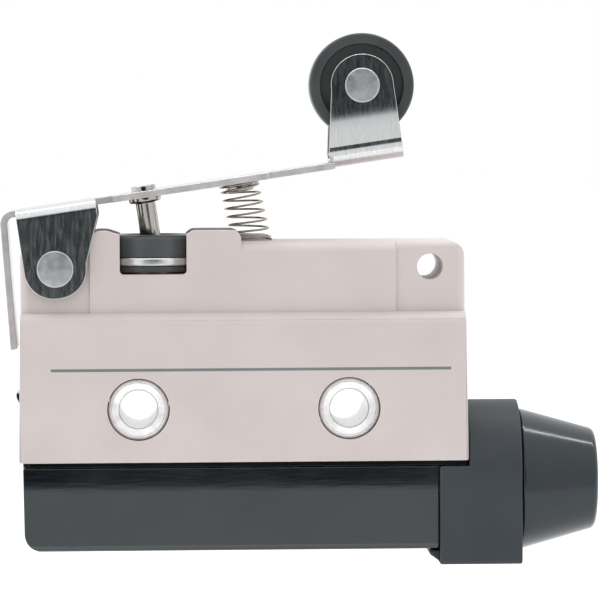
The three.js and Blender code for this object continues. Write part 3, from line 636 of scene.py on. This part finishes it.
def lever_fork():
    """The fork that holds the roller: two cheeks that a crease sets apart a little above the arm."""
    cheek_left, cheek_top, round_top = 36.25, 20.17, 3.75
    side = outline([
        (FORK_LEFT, SHEET_UNDER - 1), (FORK_RIGHT, SHEET_UNDER - 1), (FORK_RIGHT, cheek_top, round_top),
        (cheek_left, cheek_top, round_top), (cheek_left, ROLLER_N), (FORK_LEFT, SHEET_TOP + 1),
    ])
    outer, low, sheet = FORK_OUTER, 3.15, 0.8
    right = [
        (low, SHEET_UNDER, 2.2), (low + 0.04, 9.36), (low, 9.44), (outer, 12.3, 26), (outer, 22),
        (outer - sheet, 22), (outer - sheet, 12.3, 26), (low - sheet, 9.44), (low - sheet, SHEET_TOP, 1.4),
    ]
    left = [(-corner[0], *corner[1:]) for corner in reversed(right)]
    return common(sweep(outline(right + left), "x", FORK_LEFT, FORK_RIGHT), sweep(side, "y", -10, 10))


def is_cut_edge(face):
    """Whether a face lies on a cut edge of the lever's sheet, in the lever's own frame."""
    u, across, n = face.center
    towards = [abs(part) for part in face.normal]
    on_tongue = u < -4.0 and abs(across) < 4.6
    if on_tongue:
        return towards[1] > 0.7
    on_arm = SHEET_UNDER - SLIP < n < SHEET_TOP + SLIP and 5.4 < u < 34.9
    if on_arm:
        return towards[2] < 0.7
    on_cheek = n < 5.4 or n > 9.6
    return towards[0] > 0.7 or (on_cheek and towards[1] < 0.3)


def lever_tongue():
    """The tongue that is bent down from the left end of the sheet."""
    root, tip, half_width = -2.8, -9.0, 4.5
    side = outline([
        (root, SHEET_TOP), (-5.75, SHEET_TOP, 1.6), (-6.9, tip), (-6.1, tip), (-4.97, SHEET_UNDER, 0.8),
        (root, SHEET_UNDER),
    ])
    return sweep(side, "y", -half_width, half_width)


def make_lever():
    push_pin_hole, stud_hole = 1.17, 0.95
    lever = join(lever_arm(), lever_bracket(), lever_fork(), lever_tongue())
    lever = cut(
        lever,
        cross_rod(0, 0, PIVOT_BORE, 10, middle=0),
        cross_rod(ROLLER_U, ROLLER_N, PIVOT_BORE, 10, middle=0),
        rod("z", (PUSH_PIN_U, 0, 0), push_pin_hole, 6, 9),
        rod("z", (STUD_U, 0, 0), stud_hole, 6, 9),
    )
    lever = soften(lever, 0.08)
    cut_edges = [face.index for face in lever.data.polygons if is_cut_edge(face)]
    show(in_place(lever), "lever_stamping", ["lever"], STEEL, "lever")
    lever.data.materials.append(CUT_STEEL)
    for index in cut_edges:
        lever.data.polygons[index].material_index = 1
    return lever


def headed_pin(u, n, reach, head, height):
    """A pin across the lever with a flat head at each end."""
    radius, edge = 1.5, 0.15
    under = reach + SLIP
    end = under + height
    section = outline([
        (0, -end), (head, -end, edge), (head, -under), (radius, -under), (radius, under),
        (head, under), (head, end, edge), (0, end),
    ], 15)
    return in_place(smooth(turned(section, "y", (u, 0, n), 96)))


def make_pins():
    pivot_pin = headed_pin(0, 0, CHEEK_OUTER, 2.2, 0.4)
    show(pivot_pin, "pivot_pin_rivet", ["pivot_pin"], RIVET_STEEL, "lever")
    roller_pin = headed_pin(ROLLER_U, ROLLER_N, FORK_OUTER, 2.1, 0.45)
    show(roller_pin, "roller_pin_rivet", ["roller_pin"], RIVET_STEEL, "lever")


def make_push_pin():
    """The turned pin that presses the plunger, riveted through the lever."""
    shaft, neck, collar, head = 1.25, 1.12, 2.0, 1.5
    tip, collar_under = -0.63, 6.15
    under, over = SHEET_UNDER - SLIP, SHEET_TOP + SLIP
    section = outline([
        (0, tip), (shaft, tip, 0.4), (shaft, collar_under, 0.1), (collar, collar_under, 0.35),
        (collar, under), (neck, under), (neck, over), (head, over), (head, SHEET_TOP + 0.62, 0.15),
        (0, SHEET_TOP + 0.65),
    ], 12)
    pin = in_place(smooth(turned(section, "z", (PUSH_PIN_U, 0, 0), 64)))
    return show(pin, "actuating_pin_turned", ["actuating_pin"], PIN_STEEL, "lever")


def make_stud():
    """The turned stud in the lever that holds the return spring's top."""
    tip, core, collar, neck = 5.75, 1.75, 2.05, 0.9
    under, over = SHEET_UNDER - SLIP, SHEET_TOP - 0.03
    section = outline([
        (0, tip), (core, tip, 0.3), (core, 6.4), (collar, 6.45, 0.1), (collar, under),
        (neck, under), (neck, over, 0.1), (0, over),
    ], 12)
    stud = in_place(smooth(turned(section, "z", (STUD_U, 0, 0), 64)))
    return show(stud, "spring_stud_turned", ["spring_stud"], PIN_STEEL, "lever")


def make_roller():
    low, high = node_box("roller")
    radius = (high.z - low.z) / 2
    half = (high.y - low.y) / 2
    web, rim, hub = 1.45, 5.05, 2.6
    section = outline([
        (PIVOT_BORE, -half), (hub, -half, 0.1), (hub, -web, 0.2), (rim, -web, 0.2), (rim, -half, 0.2),
        (radius, -half, 0.3), (radius, half, 0.3), (rim, half, 0.2), (rim, web, 0.2), (hub, web, 0.2),
        (hub, half, 0.1), (PIVOT_BORE, half),
    ], 12)
    roller = smooth(turned(section, "y", ROLLER_AXIS, 160))
    return show(roller, "roller_wheel", ["roller"], ROLLER, "roller")


# ---------------------------------------------------------------- springs


def coil(start, end, radius, wire, turns, pitch, lean, name):
    """A closed tube along a helix, with one closed turn at each end."""
    per_turn, sides = 40, 12
    count = int(turns * per_turn)
    length = (end - start).length
    active = (length - 2 * pitch) / (turns - 2)
    path = []
    for i in range(count + 1):
        turn = turns * i / count
        middle = max(0, min(turn - 1, turns - 2))
        share = (active * middle + pitch * (turn - middle)) / length
        angle = 2 * math.pi * turn
        side = radius * math.cos(angle)
        centre = start.lerp(end, share)
        lift = side * math.tan(lean) * share
        path.append(centre + Vector((side, radius * math.sin(angle), lift)))
    bm = bmesh.new()
    rings = []
    round_wire = [2 * math.pi * k / sides for k in range(sides)]
    for i, point in enumerate(path):
        along = (path[min(i + 1, count)] - path[max(i - 1, 0)]).normalized()
        across = along.cross(Vector((0, 0, 1))).normalized()
        up = across.cross(along)
        ring = [point + wire * (across * math.cos(a) + up * math.sin(a)) for a in round_wire]
        rings.append([bm.verts.new(place) for place in ring])
    for before, after in zip(rings, rings[1:]):
        for k in range(sides):
            bm.faces.new((before[k - 1], before[k], after[k], after[k - 1]))
    bm.faces.new(rings[0])
    bm.faces.new(rings[-1])
    return smooth(object_from(bm, name), 60)


def make_return_spring():
    wire = 0.13
    start = Vector((RETURN_SPRING_X, MID_Y, TOP + wire))
    end = lever_point(STUD_U, SHEET_UNDER - wire - 0.02)
    spring = coil(start, end, 2.35, wire, 8, 0.3, TILT, "return_spring_coil")
    show(spring, "return_spring_coil", ["return_spring"], WIRE)
    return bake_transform(spring)


def make_contact_spring():
    low, high = node_box("contact_spring")
    wire = 0.15
    start = Vector((WELL_X, MID_Y, low.z + wire))
    end = Vector((WELL_X, MID_Y, high.z - wire))
    spring = coil(start, end, 1.5, wire, 6, 0.4, 0, "contact_spring_coil")
    show(spring, "contact_spring_coil", ["contact_spring"], WIRE)
    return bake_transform(spring)


# ---------------------------------------------------------------- cover, block and grommet


def cover_shell():
    """The cover's outer shape, upright near its top and leaning in a little below."""
    half = (COVER_HIGH.y - COVER_LOW.y) / 2
    front, back = MID_Y - half, MID_Y + half
    bottom, lean, edge = COVER_LOW.z, 0.34, 0.8
    waist, waist_radius = COVER_TOP - 2.2, 40
    side = outline([
        (COVER_LEFT + 0.15, bottom, 2.2),
        (COVER_HIGH.x, bottom),
        (COVER_HIGH.x, COVER_TOP),
        (COVER_LEFT, COVER_TOP),
    ])
    section = outline([
        (front + lean, bottom, edge), (back - lean, bottom, edge), (back, waist, waist_radius),
        (back, COVER_TOP), (front, COVER_TOP), (front, waist, waist_radius),
    ])
    return common(sweep(side, "y", MID_Y - 10, MID_Y + 10), sweep(section, "x", -PAST, PAST))


def cover_latch():
    """The arm up the cover's left end, with a lip that hooks into the housing."""
    arm, lip, sheet, half_width = COVER_LEFT - 0.15, COVER_LOW.x, 0.75, 2.9
    root, top = COVER_TOP - 1, COVER_HIGH.z
    side = outline([
        (arm, root), (arm + sheet, root), (arm + sheet, top), (lip, top), (lip, top - 0.55),
        (arm, top - 2.15),
    ])
    return sweep(side, "y", MID_Y - half_width, MID_Y + half_width)


def make_cover():
    half = (COVER_HIGH.y - COVER_LOW.y) / 2
    wall = 1.3
    left, right = COVER_LEFT + wall, COVER_HIGH.x + 2
    hollow = slab(left, right, half - wall, COVER_LOW.z + wall, COVER_TOP + 1)
    tray = join(cut(cover_shell(), hollow), cover_latch())
    tray = soften(tray, 0.12)
    return show(tray, "terminal_cover_tray", ["terminal_cover"], COVER, "cover")


def make_gasket():
    """The flat seal between housing and cover, open in the middle."""
    low, high = node_box("cover_gasket")
    left = -25.95
    window_left, window_right, window_half = -24.3, 23.0, 6.7
    window = slab(window_left, window_right, window_half, low.z - 1, high.z + 1)
    gasket = soften(cut(block((left, low.y, low.z), high), window), 0.08)
    return show(gasket, "cover_gasket_strip", ["cover_gasket"], GASKET, "housing")


def arched_section():
    """The block's section: a flat foot under a half round."""
    radius = (BLOCK_HIGH.y - BLOCK_LOW.y) / 2
    arch_z = BLOCK_HIGH.z - radius
    steps, edge = 60, 0.6
    arc = []
    for i in range(steps + 1):
        angle = math.pi * i / steps
        arc.append((MID_Y + radius * math.cos(angle), arch_z + radius * math.sin(angle)))
    return outline([(MID_Y - radius, BLOCK_LOW.z, edge), (MID_Y + radius, BLOCK_LOW.z, edge)] + arc)


def make_block():
    """The end block, with a step under the housing, a hinge foot and a spigot for the grommet."""
    left, right = 23.6, 33.6
    step_right, step_bottom = 27.2, -7.1
    foot_top, foot_right, foot_half = -17.4, 24.6, 7
    spigot_radius, spigot_end, passage_radius = 6.5, 38.6, 5.0
    throat_right, throat_half, throat_bottom, throat_top = 28.0, 5.5, -15.3, -8.5
    centre = (0, MID_Y, OUTLET_Z)
    foot = outline([
        (BLOCK_LOW.x, foot_top), (BLOCK_LOW.x, foot_top - 0.5), (foot_right - 0.6, BLOCK_LOW.z),
        (foot_right, BLOCK_LOW.z), (foot_right, foot_top),
    ])
    step = slab(left - 1, step_right, 10, step_bottom, 2)
    shape = cut(sweep(arched_section(), "x", left, right), step)
    spigot = rod("x", centre, spigot_radius, right - 1, spigot_end, 96)
    shape = join(shape, sweep(foot, "y", MID_Y - foot_half, MID_Y + foot_half), spigot)
    throat = slab(left - 1, throat_right, throat_half, throat_bottom, throat_top)
    shape = cut(shape, throat, rod("x", centre, passage_radius, throat_right - 0.5, 40, 96))
    shape = soften(shape, 0.25)
    return show(shape, "conduit_block_moulding", ["conduit_block"], CONDUIT, "housing")


def make_grommet():
    """The tapered cable grommet, hollow behind its bore where it fits over the block's spigot."""
    start, end = GROMMET_LOW.x, GROMMET_HIGH.x
    large = (GROMMET_HIGH.z - GROMMET_LOW.z) / 2
    small, bore, socket, socket_end = 6.05, 3.9, 6.6, 38.9
    section = outline([
        (socket, start), (large, start, 0.3), (small, end, 0.9), (bore, end, 0.4),
        (bore, socket_end), (socket, socket_end),
    ], 8)
    grommet = smooth(turned(section, "x", (0, MID_Y, OUTLET_Z), 160))
    return show(grommet, "cable_grommet_cone", ["cable_grommet"], RUBBER, "housing")


# ---------------------------------------------------------------- pieces kept from the frame

KEPT = {
    "plunger_guide": BRASS,
    "plunger": ACETAL,
    "contact_arm": BRASS,
    "moving_contact": SILVER,
    "arm_pivot_pin": PIN_STEEL,
    "com_terminal": BRASS,
    "no_terminal": BRASS,
    "nc_terminal": BRASS,
    "no_contact": SILVER,
    "nc_contact": SILVER,
    "terminal_base": PHENOLIC,
    "clamp_washer_1": PIN_STEEL,
    "clamp_washer_2": PIN_STEEL,
    "clamp_washer_3": PIN_STEEL,
}


def dress_kept_nodes():
    """Gives the inner CAD nodes their materials and slightly rounded edges."""
    for node, material in KEPT.items():
        obj = frame["nodes"][node]
        obj.data.materials.clear()
        obj.data.materials.append(material)
        bevel = obj.modifiers.new("edges", "BEVEL")
        bevel.width = 0.06 * MM
        bevel.segments = 2
        bevel.limit_method = "ANGLE"
        bevel.angle_limit = math.radians(50)


def make_terminal_screw(node):
    low, high = node_box(node)
    x = (low.x + high.x) / 2
    radius = (high.x - low.x) / 2
    shank, head_top = 1.35, low.z + 1.8
    slot_half, slot_depth = 0.3, 0.8
    section = outline([
        (0, low.z), (radius, low.z, 0.7), (radius, head_top), (shank, head_top), (shank, high.z, 0.2),
        (0, high.z),
    ], 10)
    screw = turned(section, "z", (x, MID_Y, 0), 64)
    slot = slab(x - 3, x + 3, slot_half, low.z - 1, low.z + slot_depth)
    screw = soften(cut(screw, slot), 0.06, 2)
    return show(screw, node + "_turned", [node], PIN_STEEL, "housing")


# ---------------------------------------------------------------- studio


def make_floor():
    """A plain pale floor, a little below the switch, that starts just in front of it."""
    level = BLOCK_LOW.z - 25
    half_width, start, end, thickness = 2500, -110, 4000, 1
    floor = block((-half_width, start, level - thickness), (half_width, end, level))
    floor.data.transform(Matrix.Scale(MM, 4))
    floor.name = "floor"
    shader = Shader("pale_floor").set(Base_Color=(0.93, 0.93, 0.93), Roughness=0.9)
    floor.data.materials.append(shader.material)


def make_strip_light():
    """A long narrow light high up along the body, which draws the streak on the round pieces."""
    place = Vector((0.005, 0.1, 0.75))
    target = Vector((0.005, -0.009, 0.01))
    data = bpy.data.lights.new("overhead", "AREA")
    data.shape = "RECTANGLE"
    data.size, data.size_y = 1.4, 0.035
    data.energy = 3.0
    light = bpy.data.objects.new("overhead", data)
    light.location = place
    light.rotation_euler = (target - place).to_track_quat("-Z", "Y").to_euler()
    bpy.context.scene.collection.objects.link(light)


def make_world():
    """A white room that brightens towards its ceiling, with a dark round of wall that the switch faces.

    Low down, a bright table covers the dark wall. The room's dark stretches are a little blue. The camera
    sees plain white everywhere.
    """
    world = bpy.data.worlds.new("studio")
    world.use_nodes = True
    bpy.context.scene.world = world
    tree = world.node_tree

    def ranged(value, start, end, low, high):
        node = tree.nodes.new("ShaderNodeMapRange")
        node.interpolation_type = "SMOOTHSTEP"
        for key, number in (("From Min", start), ("From Max", end), ("To Min", low), ("To Max", high)):
            node.inputs[key].default_value = number
        tree.links.new(value, node.inputs["Value"])
        return node.outputs["Result"]

    def combined(operation, first, second):
        node = tree.nodes.new("ShaderNodeMath")
        node.operation = operation
        for socket, value in zip(node.inputs, (first, second)):
            if isinstance(value, float):
                socket.default_value = value
            else:
                tree.links.new(value, socket)
        return node.outputs["Value"]

    axes = tree.nodes.new("ShaderNodeSeparateXYZ")
    tree.links.new(tree.nodes.new("ShaderNodeTexCoord").outputs["Generated"], axes.inputs["Vector"])
    dark = 0.025
    round_wall = ranged(axes.outputs["Y"], -0.97, -0.86, dark, 1.0)
    table = ranged(axes.outputs["Z"], -0.15, -0.09, 1.0, dark)
    wall = combined("MAXIMUM", round_wall, table)
    ceiling = ranged(axes.outputs["Z"], 0.0, 1.0, 1.0, 1.3)
    room = combined("MULTIPLY", wall, ceiling)
    seen = tree.nodes.new("ShaderNodeLightPath").outputs["Is Camera Ray"]
    tint = tree.nodes.new("ShaderNodeValToRGB")
    tint.color_ramp.elements[0].color = (0.72, 0.92, 1.0, 1)
    tint.color_ramp.elements[1].color = (1, 1, 1, 1)
    tree.links.new(combined("MAXIMUM", wall, seen), tint.inputs["Fac"])
    tree.links.new(combined("MAXIMUM", room, seen), tree.nodes["Background"].inputs["Strength"])
    tree.links.new(tint.outputs["Color"], tree.nodes["Background"].inputs["Color"])


def make_camera():
    """A long lens from 0.5 m, a little to the left and above."""
    azimuth, elevation, roll = math.radians(-2.0), math.radians(2.5), math.radians(0.3)
    distance = 0.5
    target = Vector((6.8, FRONT, 13.1)) * MM
    level = math.cos(elevation)
    back = Vector((math.sin(azimuth) * level, -math.cos(azimuth) * level, math.sin(elevation)))
    data = bpy.data.cameras.new("camera")
    data.lens = 249.4
    data.sensor_width = 36
    data.clip_start = 0.01
    camera = bpy.data.objects.new("camera", data)
    turn = back.to_track_quat("Z", "Y").to_matrix().to_4x4()
    camera.matrix_world = Matrix.Translation(target + back * distance) @ turn @ Matrix.Rotation(-roll, 4, "Z")
    bpy.context.scene.collection.objects.link(camera)
    bpy.context.scene.camera = camera


def make_studio():
    make_floor()
    make_world()
    make_strip_light()
    make_camera()
    bpy.context.scene.view_settings.view_transform = "Standard"


make_housing()
make_bush(-1, "bush_left")
make_bush(1, "bush_right")
make_print()
make_boot()
make_membrane()
make_ring()
make_lever()
make_pins()
make_push_pin()
make_stud()
make_roller()
make_return_spring()
make_contact_spring()
make_cover()
make_gasket()
make_block()
make_grommet()
for number in (1, 2, 3):
    make_terminal_screw(f"terminal_screw_{number}")
dress_kept_nodes()
make_studio()
